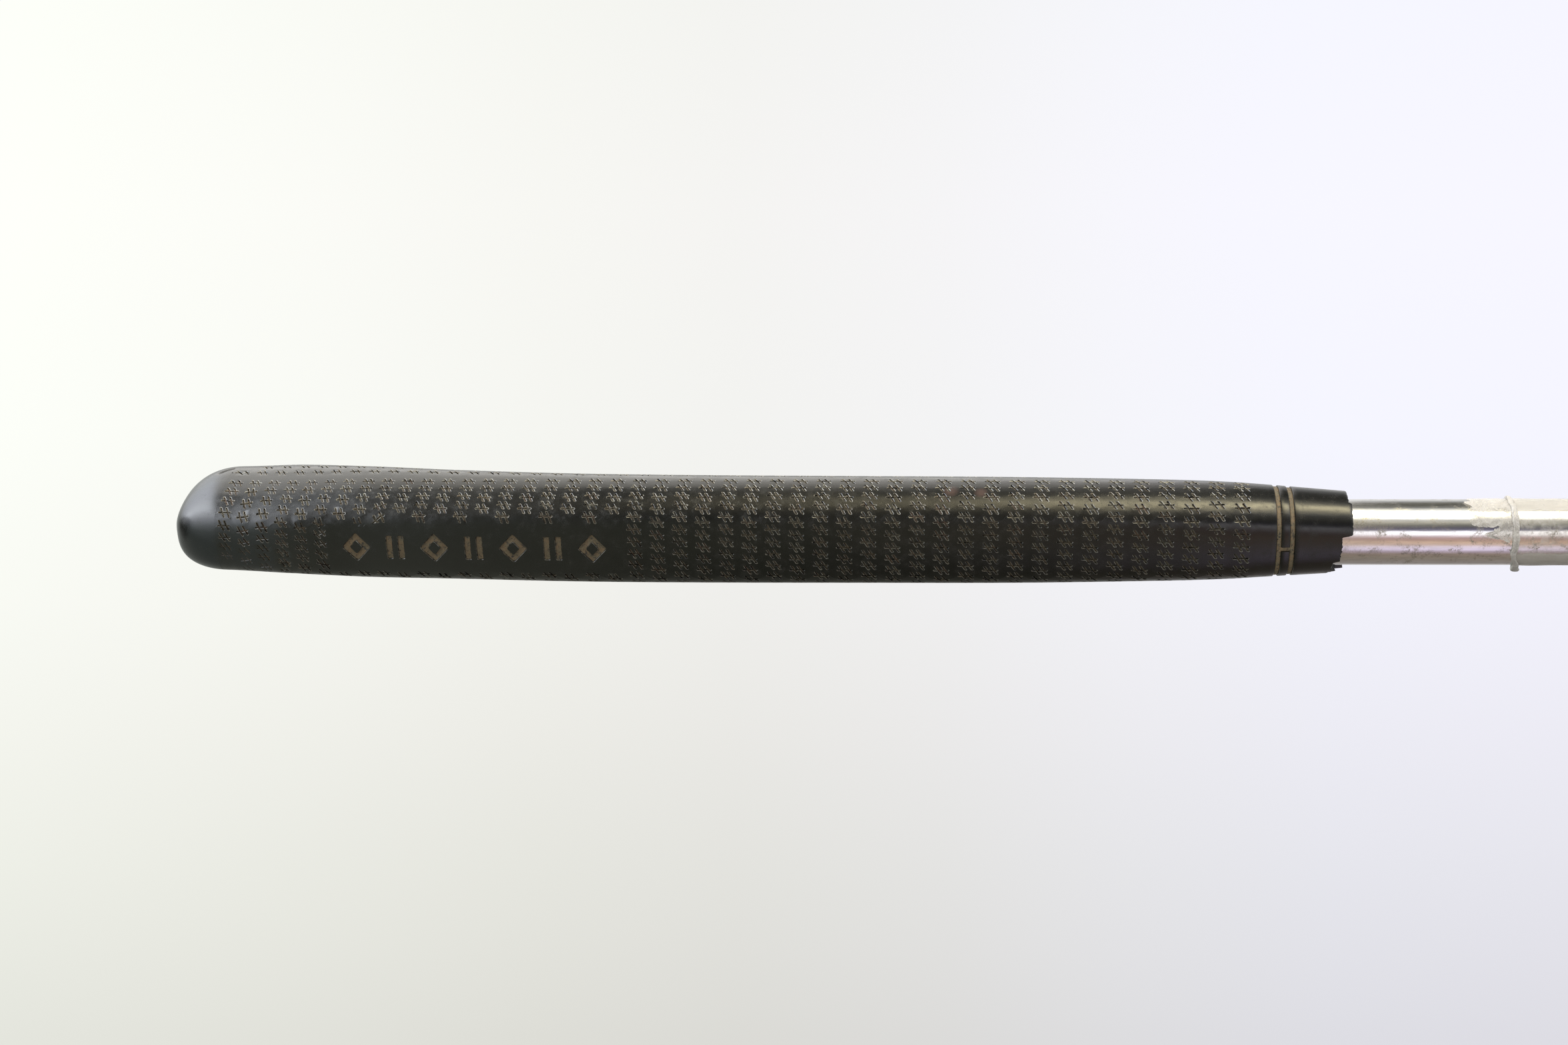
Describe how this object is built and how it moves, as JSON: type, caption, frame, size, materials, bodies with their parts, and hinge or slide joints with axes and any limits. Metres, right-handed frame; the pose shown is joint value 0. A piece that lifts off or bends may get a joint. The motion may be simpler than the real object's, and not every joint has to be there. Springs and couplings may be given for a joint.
{
  "type": "golf grip",
  "caption": "Pistol-style putter grip of black rubber on a short stub of chromed steel shaft, with tape under the sleeve, painted grooves and a remnant of clear film.",
  "frame": {"origin": "centre of the shaft's cut end, on the shaft axis", "axes": "+X along the shaft axis, out of the cut end and away from the grip; -Y is the outward normal of the flat thumb face; +Y is the pistol bulge; +Z is one flank"},
  "size_m": [0.3402, 0.0342, 0.024],
  "materials": {
    "cap": "smooth moulded rubber, slightly shiny from handling",
    "sleeve": "moulded rubber, satin, worn",
    "emblem": "worn tan paint fill",
    "ring": "worn tan paint fill",
    "ring_link": "worn tan paint fill",
    "tape": "paper-backed double-sided tape",
    "shaft": "chromed steel with smudges and light corrosion bloom",
    "film": "clear protective film, yellowed and scuffed",
    "film_edge": "curled torn edge of the clear film"
  },
  "bodies": {
    "root": {"end_cap": "cap", "grip_sleeve": "sleeve", "emblem_paint": "emblem", "ring_paint": "ring", "ring_link_paint": "ring_link", "grip_tape": "tape", "shaft_tube": "shaft", "shaft_film": "film", "film_roll": "film_edge"}
  },
  "joints": []
}
